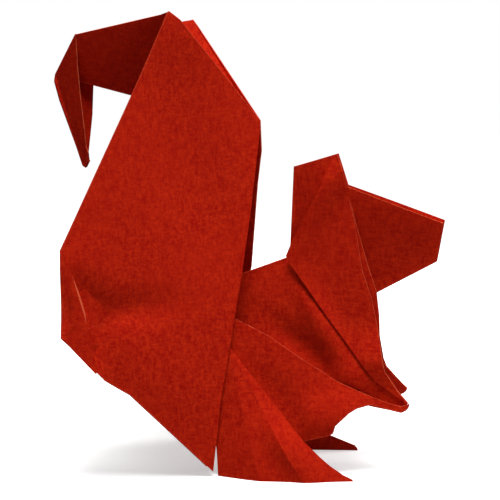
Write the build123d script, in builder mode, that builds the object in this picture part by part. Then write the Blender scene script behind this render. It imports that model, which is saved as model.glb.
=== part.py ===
from build123d import *
import os

# Origami squirrel folded from one square sheet: +X is the way it faces, +Z is up and the
# origin is on the floor, midway along its length and on the plane its two halves mirror about

# The sheet
paper = 0.30
fold_radius = 0.19
pressed_radius = 0.25

# Tail, side view: back edge, foot and the point where its front edges cross
tail_height = 102.5
tail_width = 40.0
tail_front = 3.0
curl_reach = 47.1
tip_length = 30.0
strip_gap = 0.55

# Body, side view: ridge of the back, belly, arm and foot
body_height = 48.4
body_length = 36.1
body_start = 0.7
foot_height = 29.6
foot_length = 29.6
foot_heel = 4.9

# Head and ears, side view
ear_height = 71.8
neck_back = 10.8
head_length = 33.1

# Depths from the middle plane out to either side
cross_depth = 0.45
back_depth = 21.8
tail_foot_depth = 12.2
ear_depth = 1.75
ear_corner_depth = 1.15
paw_depth = 6.3
arm_depth = 6.9
belly_top_depth = 5.7
belly_low_depth = 8.6
foot_top_depth = 7.1
near_heel_depth = 11.7
near_sole_depth = 13.7
near_ball_depth = 13.4
near_toe_depth = 11.5
nose_depth = 0.45
tip_depth = 0.25

# What differs between the near half and the far half of a sheet folded by hand
hand_shift = 2.6
tip_shift = 2.2
nose_shift = 0.5
far_heel_depth = 9.9
far_sole_depth = 9.3
far_ball_depth = 8.3
far_toe_depth = 9.2

# Part of the sheet that runs below the floor before the feet are trimmed level
trim_depth = 1.5

# Side-view places on the tail, as shares of its width (backwards) and of its height
apex_share = (0.472, 1.0)
apex_blunt_share = (0.416, 0.983)
blunt_shift_share = 0.6
shift_drop_share = 0.2
back_corner_share = (1.0, 0.508)
strip_low_share = (0.997, 0.326)
strip_heel_share = (0.822, 0.247)
hip_top_share = (0.782, 0.231)
hip_share = (0.658, 0.197)
near_heel_shares = [(0.262, 0.025), (0.229, 0.011)]
far_heel_shares = [(0.300, -0.012), (0.235, -0.012)]
near_front_shares = [
    (0.215, 0.069), (0.192, 0.165), (0.125, 0.345),
    (0.089, 0.441), (0.043, 0.583), (0.005, 0.731),
]
far_front_shares = [
    (0.215, 0.069), (0.192, 0.165), (0.120, 0.345),
    (0.064, 0.442), (0.020, 0.634), (-0.006, 0.708),
]
strip_edge_shares = [(0.975, 0.495), (0.930, 0.437), (0.883, 0.371), (0.845, 0.309), (0.818, 0.253)]
hidden_edge_shares = [(0.955, 0.430), (0.915, 0.368), (0.882, 0.309), (0.832, 0.252)]
tail_spine_share = (0.060, 0.690)
cross_share = (0.0, 0.771)
shoulder_share = 0.36

# Places on the curl, as shares of its reach and of the tail's height
curl_start_share = (0.0, 0.754)
curl_end_share = (1.0, 0.874)
curl_top_share = (0.872, 0.959)

# Places on the curl's tip, from its hinge corner: shares of the tip's length, back and down
tip_back_shares = [(0.009, 0.050), (-0.028, 0.193), (-0.154, 0.550), (-0.198, 0.688)]
tip_end_shares = [(-0.221, 0.703), (-0.246, 0.650)]
near_tip_shares = [(-0.255, 0.594), (-0.237, 0.549), (-0.225, 0.359), (-0.211, 0.176), (-0.200, -0.036)]
far_tip_shares = [(-0.239, 0.585), (-0.248, 0.498), (-0.266, 0.307), (-0.273, 0.086)]

# Places on the body, as shares of its length (forwards) and of its height
ridge_start_share = (-0.090, 0.902)
ridge_end_share = (0.258, 1.0)
chest_share = (0.860, 0.470)
paw_share = (1.0, 0.330)
inner_arm_share = (0.548, 0.360)
hidden_side_share = (-0.200, 0.578)
belly_back_shares = [(-0.172, 0.120), (-0.215, 0.340), (-0.113, 0.735)]
belly_top_shares = [
    (0.149, 0.640), (0.335, 0.546), (0.453, 0.494),
    (0.571, 0.441), (0.665, 0.414), (0.806, 0.372),
]
belly_wrist_shares = [(0.887, 0.349), (0.957, 0.334)]
paw_tip_share = (1.009, 0.346)
paw_round_shares = [(1.005, 0.333), (0.992, 0.320), (0.963, 0.309)]
belly_low_shares = [(0.911, 0.318), (0.772, 0.346), (0.690, 0.331), (0.639, 0.308), (0.558, 0.248)]
belly_front_shares = [(0.545, 0.212), (0.524, 0.200), (0.367, 0.163)]
lining_shares = [(0.700, 0.500), (0.330, 0.380), (-0.050, 0.580)]
lining_depth_share = 0.55

# Places on the thigh and foot, as shares of its length (forwards from the heel) and height
thigh_top_share = (0.034, 1.0)
thigh_front_share = (0.642, 0.286)
near_toe_shares = [(0.770, 0.169), (0.840, 0.111), (0.938, 0.046), (1.007, 0.014)]
far_toe_shares = [(0.795, 0.131), (1.014, 0.041), (1.034, 0.018)]
thigh_back_shares = [(-0.020, 0.182), (-0.075, 0.550)]
sole_share = 0.318
ball_share = 0.639

# Places on the ear and arm panel and on the head, as shares of the head's length (forwards
# from the back of the neck) and of the ears' height
neck_top_share = (0.0, 0.961)
ear_share = (0.289, 1.0)
ear_back_shares = [(0.275, 0.998), (0.150, 0.870), (-0.003, 0.737), (-0.051, 0.681), (-0.045, 0.668)]
arm_edge_shares = [(0.082, 0.592), (0.258, 0.483), (0.442, 0.374), (0.572, 0.300), (0.725, 0.252)]
near_wrist_shares = [
    (0.737, 0.261), (0.698, 0.287), (0.659, 0.315),
    (0.633, 0.332), (0.614, 0.361), (0.592, 0.432),
]
far_wrist_shares = [(0.742, 0.257), (0.665, 0.290), (0.628, 0.330), (0.604, 0.390)]
ear_front_shares = [(0.572, 0.481), (0.538, 0.553), (0.468, 0.646), (0.409, 0.799), (0.356, 0.900)]
neck_front_shares = [
    (0.359, 0.899), (0.430, 0.775), (0.508, 0.655),
    (0.564, 0.582), (0.591, 0.480), (0.597, 0.412),
]
nose_top_share = (1.0, 0.790)
nose_low_share = (0.967, 0.669)
nose_inner_share = (0.716, 0.780)
throat_share = (0.569, 0.567)
head_join_share = (0.250, 0.921)


def tail_place(share):
    """Side-view place of a point on the tail."""
    return tail_front - share[0] * tail_width, share[1] * tail_height


def curl_place(share):
    """Side-view place of a point on the curl."""
    return tail_front - share[0] * curl_reach, share[1] * tail_height


def tip_place(share):
    """Side-view place of a point on the curl's tip."""
    hinge_x, hinge_z = curl_place(curl_end_share)
    return hinge_x - share[0] * tip_length, hinge_z - share[1] * tip_length


def body_place(share):
    """Side-view place of a point on the body."""
    return body_start + share[0] * body_length, share[1] * body_height


def foot_place(share):
    """Side-view place of a point on the thigh and foot."""
    return share[0] * foot_length - foot_heel, share[1] * foot_height


def head_place(share):
    """Side-view place of a point on the neck, ears and head."""
    return neck_back + share[0] * head_length, share[1] * ear_height


def corner(place, depth):
    """Corner of the sheet at a side-view place, a given depth from the middle plane."""
    return Vector(place[0], depth, place[1])


def panel(a, b, c):
    """Plane through three corners of the sheet."""
    return Plane(origin=a, x_dir=b - a, z_dir=(b - a).cross(c - a))


def on(plane, place):
    """Corner of a panel at a side-view place."""
    tilt = plane.z_dir
    rise = (place[0] - plane.origin.X) * tilt.X + (place[1] - plane.origin.Z) * tilt.Z
    return Vector(place[0], plane.origin.Y - rise / tilt.Y, place[1])


def flat(plane, corners):
    """Flat stretch of the sheet between its corners."""
    with BuildSketch(plane) as outline:
        with BuildLine():
            local = [plane.to_local_coords(point) for point in corners]
            Polyline(*[(point.X, point.Y) for point in local], close=True)
        make_face()
    return extrude(outline.sketch, amount=paper / 2, both=True, mode=Mode.PRIVATE)


def facet(a, b, c):
    """Three-cornered stretch of the sheet."""
    return flat(panel(a, b, c), [a, b, c])


def folds(*corners, radius=fold_radius):
    """Rounded folds that run from corner to corner."""
    made = []
    for start, end in zip(corners, corners[1:]):
        with BuildSketch(Plane(origin=start, z_dir=end - start)) as section:
            Circle(radius)
        made.append(extrude(section.sketch, amount=(end - start).length, mode=Mode.PRIVATE))
    return made


def half_sheet(side):
    """Flat stretches and folds of one half; side is -1 for the near half and 1 for the far half."""
    far = side > 0
    shift = hand_shift if far else 0
    made = []

    # Tail: outer panel, its back strip, and the inner layer that runs back to the spine
    cross = corner(tail_place(cross_share), side * cross_depth)
    back = corner(tail_place(back_corner_share), side * back_depth)
    outer = panel(cross, back, corner(tail_place(near_heel_shares[-1]), side * tail_foot_depth))
    apex_x, apex_z = tail_place(apex_share)
    apex = on(outer, (apex_x + shift, apex_z - shift * shift_drop_share))
    blunt_x, blunt_z = tail_place(apex_blunt_share)
    blunt_shift = shift * blunt_shift_share
    blunt = on(outer, (blunt_x + blunt_shift, blunt_z - blunt_shift * shift_drop_share))
    hip_top = on(outer, tail_place(hip_top_share))
    hip = on(outer, tail_place(hip_share))
    heel_shares = far_heel_shares if far else near_heel_shares
    heel, tail_foot = [on(outer, tail_place(share)) for share in heel_shares]
    front_shares = far_front_shares if far else near_front_shares
    front = [on(outer, tail_place(share)) for share in front_shares]
    hidden = [on(outer, tail_place(share)) for share in hidden_edge_shares]
    outline = [cross, blunt, apex, back] + hidden + [hip_top, hip, heel, tail_foot] + front
    made.append(flat(outer, outline))

    strip_low = corner(tail_place(strip_low_share), side * (back_depth + strip_gap))
    strip_low.Y = on(outer, tail_place(strip_low_share)).Y
    strip_heel = on(outer, tail_place(strip_heel_share))
    lift = Vector(0, side * strip_gap, 0)
    strip = panel(back, strip_low, on(outer, tail_place(strip_edge_shares[2])) + lift)
    strip_edge = [on(strip, tail_place(share)) for share in strip_edge_shares]
    made.append(flat(strip, [back] + strip_edge + [on(strip, tail_place(strip_heel_share)), strip_low]))
    made.append(facet(strip_low, strip_heel, hip_top))

    spine_top = corner(tail_place(tail_spine_share), 0)
    ridge_start = corner(body_place(ridge_start_share), 0)
    ridge_end = corner(body_place(ridge_end_share), 0)
    paw = corner(body_place(paw_share), side * paw_depth)
    body = panel(ridge_start, ridge_end, paw)
    side_point = on(body, body_place(hidden_side_share))
    shoulder = apex + (back - apex) * shoulder_share
    made.append(facet(shoulder, back, spine_top))
    made.append(facet(back, spine_top, ridge_start))
    made.append(facet(back, ridge_start, strip_low))
    made.append(facet(strip_low, ridge_start, hip_top))
    made.append(facet(hip_top, ridge_start, hip))
    made.append(facet(hip, ridge_start, side_point))
    made.append(facet(hip, side_point, heel))
    made += folds(apex, back, strip_low, hip_top, hip, heel)
    made += folds(apex, blunt, cross)
    made += folds(spine_top, ridge_start, side_point)
    made += folds(back, ridge_start, strip_low)
    made += folds(hip_top, ridge_start, hip, side_point)
    made += folds(back, spine_top)

    # Curl: one wall of the trough that leaves the tail between its two apexes, and the tip
    # that is folded back outside it
    curl_start = corner(curl_place(curl_start_share), 0)
    curl_end = corner(curl_place(curl_end_share), 0)
    wall = panel(curl_start, curl_end, apex)
    top_x, top_z = curl_place(curl_top_share)
    slip = tip_shift if far else 0
    curl_top = on(wall, (top_x + slip, top_z))
    made.append(flat(wall, [curl_start, curl_end, curl_top, apex]))
    made += folds(curl_top, curl_end, curl_start)
    tip_end = corner(tip_place(tip_end_shares[0]), side * tip_depth)
    tip = panel(curl_top, curl_end, tip_end)
    tip_back = [curl_end] + [corner(tip_place(share), 0) for share in tip_back_shares]
    tip_shares = far_tip_shares if far else near_tip_shares
    tip_front = [on(tip, tip_place(share)) for share in tip_end_shares[1:] + tip_shares]
    made.append(flat(tip, [curl_top] + tip_back + [tip_end] + tip_front))
    made += folds(*tip_back, tip_end, tip_front[0])

    # Body: flank under the ridge, lining inside it, belly outside it and the inner layer that
    # joins flank and belly
    chest = on(body, body_place(chest_share))
    inner_arm = on(body, body_place(inner_arm_share))
    made.append(flat(body, [ridge_start, ridge_end, chest, paw, inner_arm, side_point]))
    made += folds(ridge_start, ridge_end)
    lining = []
    for share in lining_shares:
        lining_corner = on(body, body_place(share))
        lining_corner.Y *= lining_depth_share
        lining.append(lining_corner)
    made.append(flat(panel(ridge_start, ridge_end, lining[0]), [ridge_start, ridge_end] + lining))
    belly_top = corner(body_place(belly_back_shares[-1]), side * belly_top_depth)
    belly_low = corner(body_place(belly_front_shares[-1]), side * belly_low_depth)
    arm_tip = corner(body_place(paw_tip_share), side * arm_depth)
    belly = panel(belly_top, belly_low, arm_tip)
    back_edge = [on(belly, body_place(share)) for share in belly_back_shares]
    top_edge = [on(belly, body_place(share)) for share in belly_top_shares + belly_wrist_shares]
    paw_round = [on(belly, body_place(share)) for share in paw_round_shares]
    low_edge = [on(belly, body_place(share)) for share in belly_low_shares + belly_front_shares]
    made.append(flat(belly, top_edge + [arm_tip] + paw_round + low_edge + back_edge))
    inner_edge = [paw] + low_edge + [side_point]
    for first, second in zip(inner_edge, inner_edge[1:]):
        made.append(facet(first, second, inner_arm))
    made += folds(*low_edge)
    made += folds(side_point, inner_arm, paw, arm_tip)
    made += folds(arm_tip, *paw_round, low_edge[0])

    # Thigh and foot: outermost flap, bowed outwards over the sole, and the pleat that joins it
    # to the belly
    thigh_top = corner(foot_place(thigh_top_share), side * foot_top_depth)
    heel_low = corner((-foot_heel, 0), side * (far_heel_depth if far else near_heel_depth))
    sole = corner(foot_place((sole_share, 0)), side * (far_sole_depth if far else near_sole_depth))
    ball = corner(foot_place((ball_share, 0)), side * (far_ball_depth if far else near_ball_depth))
    toe = corner(foot_place((1, 0)), side * (far_toe_depth if far else near_toe_depth))
    trim = trim_depth / thigh_top.Z
    below = [point + (point - thigh_top) * trim for point in (heel_low, sole, ball, toe)]
    heel_panel = panel(thigh_top, heel_low, sole)
    thigh_back = [on(heel_panel, foot_place(share)) for share in thigh_back_shares]
    made.append(flat(heel_panel, [thigh_top, below[1], below[0]] + thigh_back))
    made.append(facet(thigh_top, below[1], below[2]))
    instep = panel(thigh_top, ball, toe)
    toe_shares = far_toe_shares if far else near_toe_shares
    toe_edge = [on(instep, foot_place(share)) for share in [thigh_front_share] + toe_shares]
    made.append(flat(instep, [thigh_top] + toe_edge + [below[3], below[2]]))
    pleat_top = on(belly, foot_place(thigh_top_share))
    pleat_low = on(belly, foot_place(thigh_back_shares[-1]))
    made.append(facet(thigh_top, thigh_back[-1], pleat_low))
    made.append(facet(thigh_top, pleat_low, pleat_top))
    made += folds(thigh_top, thigh_back[-1])
    made += folds(pleat_top, pleat_low)

    # Neck and ear: inner panel from the back of the neck, outer panel from ear tip to paw
    neck_top = corner(head_place(neck_top_share), 0)
    ear = corner(head_place(ear_share), side * ear_depth)
    neck = panel(neck_top, ridge_end, ear)
    neck_front = [on(neck, head_place(share)) for share in neck_front_shares]
    chest_neck = on(neck, body_place(chest_share))
    made.append(flat(neck, [neck_top, ear] + neck_front + [chest_neck, ridge_end]))
    made += folds(ridge_end, neck_top)
    ear_corner = corner(head_place(ear_back_shares[-1]), side * ear_corner_depth)
    arm = panel(ear, ear_corner, arm_tip)
    ear_back = [on(arm, head_place(share)) for share in ear_back_shares]
    arm_edge = [on(arm, head_place(share)) for share in arm_edge_shares]
    wrist_shares = far_wrist_shares if far else near_wrist_shares
    ear_front = [on(arm, head_place(share)) for share in wrist_shares + ear_front_shares]
    made.append(flat(arm, [ear] + ear_back + arm_edge + [arm_tip] + ear_front))
    made += folds(ear, neck_front[0], radius=pressed_radius)

    # Head: one cheek, joined inside the neck, with the nose turned in between the cheeks
    throat = corner(head_place(throat_share), 0)
    nose_low = corner(head_place(nose_low_share), 0)
    nose_x, nose_z = head_place(nose_top_share)
    nose_lift = nose_shift if far else 0
    nose_top = corner((nose_x + nose_lift, nose_z + nose_lift), side * nose_depth)
    cheek = panel(throat, nose_low, nose_top)
    head_join = on(cheek, head_place(head_join_share))
    made.append(flat(cheek, [throat, nose_low, nose_top, head_join]))
    made.append(facet(head_join, throat, ridge_end))
    made += folds(nose_top, nose_low, throat, head_join)
    made += folds(head_join, ridge_end)
    return made


def turned_nose():
    """Point of the nose, turned in between the cheeks."""
    nose_places = (nose_inner_share, nose_low_share, nose_top_share)
    return facet(*[corner(head_place(share), 0) for share in nose_places])


with BuildPart() as folded_sheet:
    add(half_sheet(-1) + half_sheet(1) + [turned_nose()])
    split(bisect_by=Plane.XY, keep=Keep.TOP)

folded_sheet.part.label = "folded_sheet"
os.makedirs("parts", exist_ok=True)
export_step(folded_sheet.part, "parts/folded_sheet.step")
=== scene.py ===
from math import cos, exp, radians, sin

import bmesh
import bpy
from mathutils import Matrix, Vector


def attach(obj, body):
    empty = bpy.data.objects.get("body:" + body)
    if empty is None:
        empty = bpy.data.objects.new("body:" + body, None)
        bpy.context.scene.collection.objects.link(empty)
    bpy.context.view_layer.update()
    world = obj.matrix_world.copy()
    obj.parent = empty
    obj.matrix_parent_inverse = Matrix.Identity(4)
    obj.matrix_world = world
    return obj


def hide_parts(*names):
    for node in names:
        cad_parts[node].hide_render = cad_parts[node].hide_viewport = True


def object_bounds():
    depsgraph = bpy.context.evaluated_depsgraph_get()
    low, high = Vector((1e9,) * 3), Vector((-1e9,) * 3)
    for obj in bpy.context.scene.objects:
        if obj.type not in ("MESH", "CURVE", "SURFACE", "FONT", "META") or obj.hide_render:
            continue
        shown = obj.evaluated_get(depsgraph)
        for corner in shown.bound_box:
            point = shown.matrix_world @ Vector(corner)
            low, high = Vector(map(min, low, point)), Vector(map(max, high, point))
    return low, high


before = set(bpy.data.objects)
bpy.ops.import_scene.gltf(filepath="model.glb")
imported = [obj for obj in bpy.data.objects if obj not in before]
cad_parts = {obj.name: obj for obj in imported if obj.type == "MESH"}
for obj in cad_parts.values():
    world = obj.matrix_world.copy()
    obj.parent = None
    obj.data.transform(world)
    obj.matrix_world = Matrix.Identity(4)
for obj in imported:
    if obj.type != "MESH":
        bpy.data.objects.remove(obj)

CAD_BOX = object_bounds()
MM = 0.001

# The sheet as it was modelled, and how finely its flat stretches are divided so that they can bend
PAPER = 0.30 * MM
GRID = 2.0 * MM
WELD = 0.002 * MM
CUT_WELD = 1e-8
FLAT_ANGLE = radians(0.3)
SHARP_ANGLE = radians(28)

# Faces narrower than the first width belong to a fold and are painted only a little paler than the sheet, a
# faint painted highlight;
# those up to the second are cut edges, painted paler as a painted highlight where the edges catch light
FOLD_WIDTH = 0.5 * PAPER
CUT_WIDTH = 1.1 * PAPER
FOLD_HIGHLIGHT = 0.15
CUT_HIGHLIGHT = 1.0

# Corner of the flank at a paw's tip: places as (x, depth from the middle plane, z), in mm
PAW_CORNER = ((31.7, 5.2, 22.7), (37.0, 6.2, 16.9), (36.6, 6.3, 16.0))

# Three corners of each flat stretch (x, depth from the middle plane, z, in mm), how far from its plane
# a point may lie and still be wholly part of it, and over what distance that fades
PANELS = {
    "tail": {
        "corners": ((3.0, 0.45, 79.0), (-37.0, 21.8, 52.1), (-6.2, 12.2, 1.1)),
        "reach": 0.26,
        "fade": 0.14,
    },
    "flank": {
        "corners": ((-2.5, 0.0, 43.7), (10.0, 0.0, 48.4), (36.8, 6.3, 16.0)),
        "reach": 0.4,
        "fade": 0.8,
    },
    "belly": {
        "corners": ((-3.4, 5.7, 35.6), (13.9, 8.6, 7.9), (37.1, 6.9, 16.7)),
        "reach": 0.4,
        "fade": 0.8,
    },
    "arm": {
        "corners": ((20.4, 1.75, 71.8), (9.3, 1.15, 48.0), (37.1, 6.9, 16.7)),
        "reach": 0.4,
        "fade": 0.8,
    },
    "foot": {
        "corners": ((-3.9, 7.1, 29.6), (4.5, 13.7, 0.0), (14.0, 13.4, 0.0)),
        "reach": 1.6,
        "fade": 0.8,
    },
    "neck": {
        "corners": ((10.8, 0.0, 69.0), (10.0, 0.0, 48.4), (20.4, 1.75, 71.8)),
        "reach": 0.2,
        "fade": 0.2,
    },
    "cheek": {
        "corners": ((29.6, 0.0, 40.7), (42.8, 0.0, 48.0), (43.9, 0.45, 56.7)),
        "reach": 0.4,
        "fade": 0.8,
    },
}

# How near the middle plane the sheet stays unbent, in mm
MIDDLE = 0.08

# Soft bends that handling leaves in the flat stretches: half (-1 near, 1 far, 0 both), side-view
# place (x, z), reach along and across, turn of the long way in degrees, and depth, positive outwards
BENDS = [
    {"panel": "tail", "half": -1, "place": (-25.0, 38.5), "reach": (8.5, 3.2), "turn": 3, "depth": -1.30},
    {"panel": "tail", "half": -1, "place": (-32.2, 37.0), "reach": (9.0, 3.6), "turn": 104, "depth": -2.00},
    {"panel": "tail", "half": -1, "place": (-34.0, 48.0), "reach": (5.0, 5.0), "turn": 70, "depth": 0.60},
    {"panel": "tail", "half": -1, "place": (-19.0, 25.0), "reach": (13.0, 7.0), "turn": -45, "depth": 0.60},
    {"panel": "tail", "half": -1, "place": (-10.0, 64.0), "reach": (8.0, 24.0), "turn": 12, "depth": -1.20},
    {"panel": "tail", "half": -1, "place": (-14.0, 103.0), "reach": (14.0, 12.0), "turn": 0, "depth": 1.80},
    {"panel": "tail", "half": 1, "place": (-24.0, 44.0), "reach": (12.0, 5.0), "turn": -8, "depth": -0.60},
    {"panel": "tail", "half": 1, "place": (-10.0, 66.0), "reach": (10.0, 22.0), "turn": 12, "depth": 0.40},
    {"panel": "flank", "half": 0, "place": (12.5, 28.4), "reach": (10.0, 2.4), "turn": -37, "depth": -1.40},
    {"panel": "flank", "half": 0, "place": (17.3, 34.5), "reach": (10.0, 2.4), "turn": -59, "depth": 0.90},
    {"panel": "flank", "half": 0, "place": (24.5, 21.3), "reach": (4.0, 2.8), "turn": -30, "depth": 1.30},
    {"panel": "arm", "half": 0, "place": (29.0, 26.0), "reach": (5.0, 5.0), "turn": -50, "depth": 1.90},
    {"panel": "arm", "half": 0, "place": (17.3, 34.5), "reach": (12.0, 3.0), "turn": -59, "depth": 1.00},
    {"panel": "arm", "half": 0, "place": (14.3, 59.5), "reach": (13.0, 3.6), "turn": 65, "depth": 0.60},
    {"panel": "neck", "half": 0, "place": (14.0, 60.5), "reach": (12.0, 3.4), "turn": 65, "depth": -0.80},
    {"panel": "belly", "half": 0, "place": (22.0, 14.0), "reach": (8.0, 5.0), "turn": 20, "depth": 2.00},
    {"panel": "belly", "half": 0, "place": (8.2, 16.8), "reach": (9.0, 2.4), "turn": -54, "depth": -0.90},
    {"panel": "foot", "half": 0, "place": (10.6, 7.2), "reach": (8.0, 2.6), "turn": -50, "depth": 1.60},
    {"panel": "foot", "half": 0, "place": (2.0, 6.0), "reach": (5.0, 8.0), "turn": 0, "depth": 0.40},
    {"panel": "cheek", "half": 0, "place": (33.0, 63.0), "reach": (17.0, 9.0), "turn": -15, "depth": 1.70},
]

# Camera: where the photograph was taken from
AZIMUTH = 7.0
ELEVATION = 8.0
DISTANCE = 229.0 * MM
AIM = Vector((0.7, 0.0, 49.8)) * MM
FOCAL_SHARE = 2.0
SENSOR = 36.0
NEAREST = 0.01

# Lamps: place in metres, width in metres and power in watts
LAMPS = [
    {"name": "overhead", "place": (0.02, -0.085, 0.485), "size": 0.20, "power": 3.1},
    {"name": "low_right", "place": (0.356, -0.205, 0.132), "size": 0.22, "power": 0.30},
    {"name": "behind", "place": (0.24, 0.22, 0.32), "size": 0.20, "power": 0.70},
]

# Surroundings and floor: how bright each is for the object and for the camera, and over which
# distance from the squirrel the floor's white rises from its lift to full white
SKY_LIGHT = 0.03
SKY_SEEN = 1.0
FLOOR_BOUNCE = 0.35
FLOOR_SEEN = 0.90
FLOOR_LIFT = 0.50
FLOOR_FADE = (0.02, 0.30)
FLOOR_SIZE = 6.0

# Paper: colours of its fibres, of its paler drifts, of the painted highlight on cut edges and folds, and of
# the light that it lets through
FIBRE_DARK = (0.440, 0.0045, 0.0015, 1)
FIBRE_LIGHT = (0.760, 0.0330, 0.0055, 1)
DRIFT_TINT = (0.60, 0.016, 0.003, 1)
DRIFT_SHARE = 0.25
EDGE_HIGHLIGHT_TINT = (0.88, 0.170, 0.070, 1)
GLOW_TINT = (0.95, 0.22, 0.02, 1)
GLOW_SHARE = 0.20
SHINE = 0.06

# Paper: how fine each part of its mottle is, in waves over a metre, how much each counts, and its relief
FIBRE_SCALE = 1700
GRAIN_SCALE = 3000
CLOUD_SCALE = 420
DRIFT_SCALE = 45
FIBRE_WEIGHT = 0.30
GRAIN_WEIGHT = 0.28
CLOUD_WEIGHT = 0.12
RELIEF = 0.30
RELIEF_HEIGHT = 0.04 * MM


def new_nodes(name):
    """A material with an empty node tree, its tree and its output."""
    material = bpy.data.materials.new(name)
    material.use_nodes = True
    tree = material.node_tree
    tree.nodes.clear()
    output = tree.nodes.new("ShaderNodeOutputMaterial")
    return material, tree, output


def grey(value):
    """Plain grey."""
    return value, value, value, 1


def noise(tree, place, scale, detail, roughness=0.5, stretch=(1, 1, 1), turn=(0, 0, 0)):
    """Noise over the object's own coordinates, stretched and turned."""
    mapping = tree.nodes.new("ShaderNodeMapping")
    mapping.inputs["Scale"].default_value = stretch
    mapping.inputs["Rotation"].default_value = [radians(angle) for angle in turn]
    texture = tree.nodes.new("ShaderNodeTexNoise")
    texture.inputs["Scale"].default_value = scale
    texture.inputs["Detail"].default_value = detail
    texture.inputs["Roughness"].default_value = roughness
    tree.links.new(place, mapping.inputs["Vector"])
    tree.links.new(mapping.outputs["Vector"], texture.inputs["Vector"])
    return texture.outputs["Fac"]


def ramp(tree, factor, low, high, low_colour=grey(0), high_colour=grey(1)):
    """Colour ramp between two stops."""
    node = tree.nodes.new("ShaderNodeValToRGB")
    node.color_ramp.elements[0].position = low
    node.color_ramp.elements[0].color = low_colour
    node.color_ramp.elements[1].position = high
    node.color_ramp.elements[1].color = high_colour
    tree.links.new(factor, node.inputs["Fac"])
    return node.outputs["Color"]


def mix(tree, factor, first, second):
    """Mixed colour of two sockets or plain colours."""
    node = tree.nodes.new("ShaderNodeMix")
    node.data_type = "RGBA"
    for socket, value in zip((node.inputs[0], node.inputs[6], node.inputs[7]), (factor, first, second)):
        if isinstance(value, bpy.types.NodeSocket):
            tree.links.new(value, socket)
        else:
            socket.default_value = value
    return node.outputs[2]


def sum_of(tree, parts):
    """Weighted sum of factors, given as (socket, weight)."""
    total = None
    for socket, weight in parts:
        node = tree.nodes.new("ShaderNodeMath")
        node.operation = "MULTIPLY_ADD"
        tree.links.new(socket, node.inputs[0])
        node.inputs[1].default_value = weight
        if total is not None:
            tree.links.new(total, node.inputs[2])
        else:
            node.inputs[2].default_value = 0.0
        total = node.outputs[0]
    return total


def dyed_paper():
    """Heavy paper dyed red through and through: fine fibres, some light let through, and a painted
    highlight that makes cut edges and folds paler.
    """
    material, tree, output = new_nodes("dyed_paper")
    place = tree.nodes.new("ShaderNodeTexCoord").outputs["Object"]
    fibre_up = noise(tree, place, FIBRE_SCALE, 3, 0.6, stretch=(1.0, 1.0, 0.30), turn=(0, 28, 0))
    fibre_along = noise(tree, place, FIBRE_SCALE, 3, 0.6, stretch=(0.30, 1.0, 1.0), turn=(0, -17, 0))
    grain = noise(tree, place, GRAIN_SCALE, 2, 0.6)
    cloud = noise(tree, place, CLOUD_SCALE, 3, 0.55)
    drift = noise(tree, place, DRIFT_SCALE, 2, 0.5)
    fibres = [(fibre_up, FIBRE_WEIGHT), (fibre_along, FIBRE_WEIGHT)]
    mottle = sum_of(tree, fibres + [(grain, GRAIN_WEIGHT), (cloud, CLOUD_WEIGHT)])
    body = ramp(tree, mottle, 0.41, 0.61, FIBRE_DARK, FIBRE_LIGHT)
    drifts = ramp(tree, drift, 0.42, 0.60, high_colour=grey(DRIFT_SHARE))
    clouded = mix(tree, drifts, body, DRIFT_TINT)
    # Painted highlight: faces along cut edges and folds are painted paler, more or less so with the cloud
    # noise
    edge = tree.nodes.new("ShaderNodeAttribute")
    edge.attribute_name = "edge"
    painted_edge_highlight = tree.nodes.new("ShaderNodeMath")
    painted_edge_highlight.operation = "MULTIPLY"
    tree.links.new(edge.outputs["Fac"], painted_edge_highlight.inputs[0])
    tree.links.new(ramp(tree, cloud, 0.35, 0.60, grey(0.45), grey(1)), painted_edge_highlight.inputs[1])
    colour = mix(tree, painted_edge_highlight.outputs[0], clouded, EDGE_HIGHLIGHT_TINT)
    shader = tree.nodes.new("ShaderNodeBsdfPrincipled")
    tree.links.new(colour, shader.inputs["Base Color"])
    shader.inputs["Specular IOR Level"].default_value = SHINE
    roughness = ramp(tree, mottle, 0.35, 0.65, grey(0.70), grey(0.92))
    tree.links.new(roughness, shader.inputs["Roughness"])
    bump = tree.nodes.new("ShaderNodeBump")
    bump.inputs["Strength"].default_value = RELIEF
    bump.inputs["Distance"].default_value = RELIEF_HEIGHT
    tree.links.new(mottle, bump.inputs["Height"])
    tree.links.new(bump.outputs["Normal"], shader.inputs["Normal"])
    glow = tree.nodes.new("ShaderNodeBsdfTranslucent")
    tree.links.new(mix(tree, 0.5, colour, GLOW_TINT), glow.inputs["Color"])
    through = tree.nodes.new("ShaderNodeMixShader")
    through.inputs["Fac"].default_value = GLOW_SHARE
    tree.links.new(shader.outputs["BSDF"], through.inputs[1])
    tree.links.new(glow.outputs["BSDF"], through.inputs[2])
    tree.links.new(through.outputs["Shader"], output.inputs["Surface"])
    return material


def mark_edges(mesh):
    """Marks how strong a painted highlight each face gets: cut edges are one paper thickness wide, folds
    are narrower.
    """
    layer = mesh.faces.layers.float.new("edge")
    for face in mesh.faces:
        around = sum(edge.calc_length() for edge in face.edges)
        width = 2 * face.calc_area() / around
        if width < FOLD_WIDTH:
            face[layer] = FOLD_HIGHLIGHT
        elif width < CUT_WIDTH:
            face[layer] = CUT_HIGHLIGHT


def slice_up(mesh):
    """Divides the sheet along evenly spaced planes, so that its flat stretches can bend."""
    low, high = CAD_BOX
    for axis in (0, 2):
        normal = [0, 0, 0]
        normal[axis] = 1
        steps = int((high[axis] - low[axis]) / GRID)
        for step in range(1, steps + 1):
            point = [0, 0, 0]
            point[axis] = low[axis] + step * GRID
            everything = mesh.verts[:] + mesh.edges[:] + mesh.faces[:]
            bmesh.ops.bisect_plane(mesh, geom=everything, dist=CUT_WELD, plane_co=point, plane_no=normal)


def panel_planes():
    """Plane of each flat stretch of the near half: its first corner and its unit normal."""
    planes = {}
    for name, panel in PANELS.items():
        first, second, third = [Vector(place) for place in panel["corners"]]
        planes[name] = (first, (second - first).cross(third - first).normalized())
    return planes


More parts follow.
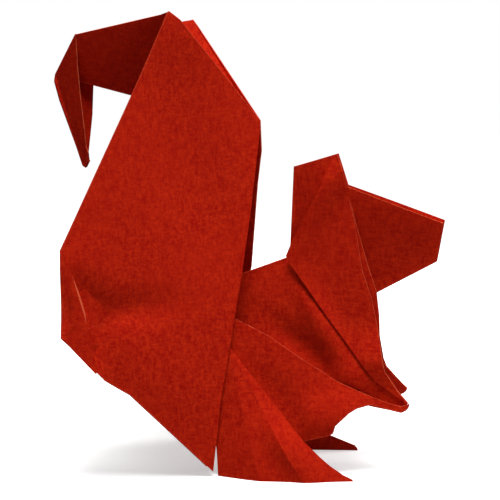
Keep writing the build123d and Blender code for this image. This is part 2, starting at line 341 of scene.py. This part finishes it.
def swell(point, planes):
    """How far a point of the sheet is moved sideways by the soft bends."""
    side = 1 if point.y > 0 else -1
    place = Vector((point.x, abs(point.y), point.z)) / MM
    total = 0.0
    for bend in BENDS:
        if bend["half"] in (0, side):
            origin, normal = planes[bend["panel"]]
            away = abs((place - origin).dot(normal)) - PANELS[bend["panel"]]["reach"]
            share = min(max(1 - away / PANELS[bend["panel"]]["fade"], 0), 1)
            across_x = place.x - bend["place"][0]
            across_z = place.z - bend["place"][1]
            turn = radians(bend["turn"])
            along = (across_x * cos(turn) + across_z * sin(turn)) / bend["reach"][0]
            over = (across_z * cos(turn) - across_x * sin(turn)) / bend["reach"][1]
            total += share * bend["depth"] * exp(-along * along - over * over)
    fade = min(max((place.y - MIDDLE) / MIDDLE, 0), 1)
    return side * fade * total * MM


def paw_corners(mesh):
    """Small corners of the flank that close the slot between arm and belly at each paw's tip."""
    for side in (-1, 1):
        outer = [Vector((x, side * depth, z)) * MM for x, depth, z in PAW_CORNER]
        across = (outer[1] - outer[0]).cross(outer[2] - outer[0]).normalized() * PAPER / 2
        front = [mesh.verts.new(place + across) for place in outer]
        back = [mesh.verts.new(place - across) for place in outer]
        mesh.faces.new(front)
        mesh.faces.new(back[::-1])
        for first in range(3):
            second = (first + 1) % 3
            mesh.faces.new((front[second], front[first], back[first], back[second]))


def folded_sheet(material):
    """The folded sheet: the modelled form, finely divided, softly bent and shaded smooth between folds."""
    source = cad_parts["folded_sheet"]
    mesh = bmesh.new()
    mesh.from_mesh(source.data)
    bmesh.ops.remove_doubles(mesh, verts=mesh.verts, dist=WELD)
    bmesh.ops.dissolve_limit(mesh, angle_limit=FLAT_ANGLE, verts=mesh.verts, edges=mesh.edges)
    paw_corners(mesh)
    mark_edges(mesh)
    bmesh.ops.triangulate(mesh, faces=mesh.faces)
    slice_up(mesh)
    for edge in mesh.edges:
        edge.smooth = len(edge.link_faces) == 2 and edge.calc_face_angle(0) < SHARP_ANGLE
    planes = panel_planes()
    for vertex in mesh.verts:
        vertex.co.y += swell(vertex.co, planes)
    for face in mesh.faces:
        face.smooth = True
    data = bpy.data.meshes.new("squirrel_sheet")
    mesh.to_mesh(data)
    mesh.free()
    data.materials.append(material)
    piece = bpy.data.objects.new("squirrel_sheet", data)
    bpy.context.scene.collection.objects.link(piece)
    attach(piece, "root")
    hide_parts("folded_sheet")


def white_floor():
    """Plain white floor: it keeps the soft shadow, and its white is lifted for the camera alone."""
    material, tree, output = new_nodes("white_floor")
    seen = tree.nodes.new("ShaderNodeLightPath").outputs["Is Camera Ray"]
    shader = tree.nodes.new("ShaderNodeBsdfDiffuse")
    tree.links.new(mix(tree, seen, grey(FLOOR_BOUNCE), grey(FLOOR_SEEN)), shader.inputs["Color"])
    distance = tree.nodes.new("ShaderNodeVectorMath")
    distance.operation = "LENGTH"
    place = tree.nodes.new("ShaderNodeTexCoord").outputs["Object"]
    tree.links.new(place, distance.inputs[0])
    rise = tree.nodes.new("ShaderNodeMapRange")
    rise.interpolation_type = "SMOOTHSTEP"
    rise.inputs["From Min"].default_value = FLOOR_FADE[0]
    rise.inputs["From Max"].default_value = FLOOR_FADE[1]
    rise.inputs["To Min"].default_value = FLOOR_LIFT
    rise.inputs["To Max"].default_value = 1.0
    tree.links.new(distance.outputs["Value"], rise.inputs["Value"])
    amount = tree.nodes.new("ShaderNodeMath")
    amount.operation = "MULTIPLY"
    tree.links.new(seen, amount.inputs[0])
    tree.links.new(rise.outputs["Result"], amount.inputs[1])
    lift = tree.nodes.new("ShaderNodeEmission")
    tree.links.new(amount.outputs[0], lift.inputs["Strength"])
    both = tree.nodes.new("ShaderNodeAddShader")
    tree.links.new(shader.outputs["BSDF"], both.inputs[0])
    tree.links.new(lift.outputs["Emission"], both.inputs[1])
    tree.links.new(both.outputs["Shader"], output.inputs["Surface"])
    bpy.ops.mesh.primitive_plane_add(size=FLOOR_SIZE)
    floor = bpy.context.object
    floor.name = "floor"
    floor.data.materials.append(material)


def sky():
    """Even pale surroundings: a little light on the object, clean white behind it."""
    world = bpy.data.worlds.new("studio")
    bpy.context.scene.world = world
    world.use_nodes = True
    tree = world.node_tree
    tree.nodes.clear()
    light_path = tree.nodes.new("ShaderNodeLightPath")
    strength = tree.nodes.new("ShaderNodeMix")
    strength.inputs[2].default_value = SKY_LIGHT
    strength.inputs[3].default_value = SKY_SEEN
    tree.links.new(light_path.outputs["Is Camera Ray"], strength.inputs[0])
    background = tree.nodes.new("ShaderNodeBackground")
    background.inputs["Color"].default_value = grey(1)
    tree.links.new(strength.outputs[0], background.inputs["Strength"])
    output = tree.nodes.new("ShaderNodeOutputWorld")
    tree.links.new(background.outputs["Background"], output.inputs["Surface"])


def soft_lamp(name, place, size, power):
    """Square lamp that points at the squirrel."""
    lamp = bpy.data.lights.new(name, "AREA")
    lamp.size = size
    lamp.energy = power
    holder = bpy.data.objects.new(name, lamp)
    holder.location = place
    holder.rotation_euler = (AIM - Vector(place)).to_track_quat("-Z", "Y").to_euler()
    bpy.context.scene.collection.objects.link(holder)


def camera():
    """Camera at the photograph's place."""
    turn = radians(AZIMUTH)
    lift = radians(ELEVATION)
    back = Vector((sin(turn) * cos(lift), -cos(turn) * cos(lift), sin(lift)))
    lens = bpy.data.cameras.new("camera")
    lens.sensor_width = SENSOR
    lens.lens = SENSOR * FOCAL_SHARE
    lens.clip_start = NEAREST
    holder = bpy.data.objects.new("camera", lens)
    holder.location = AIM + back * DISTANCE
    holder.rotation_euler = (-back).to_track_quat("-Z", "Y").to_euler()
    bpy.context.scene.collection.objects.link(holder)
    bpy.context.scene.camera = holder


bpy.context.scene.view_settings.view_transform = "Standard"
camera()
sky()
for lamp_values in LAMPS:
    soft_lamp(**lamp_values)
white_floor()
folded_sheet(dyed_paper())
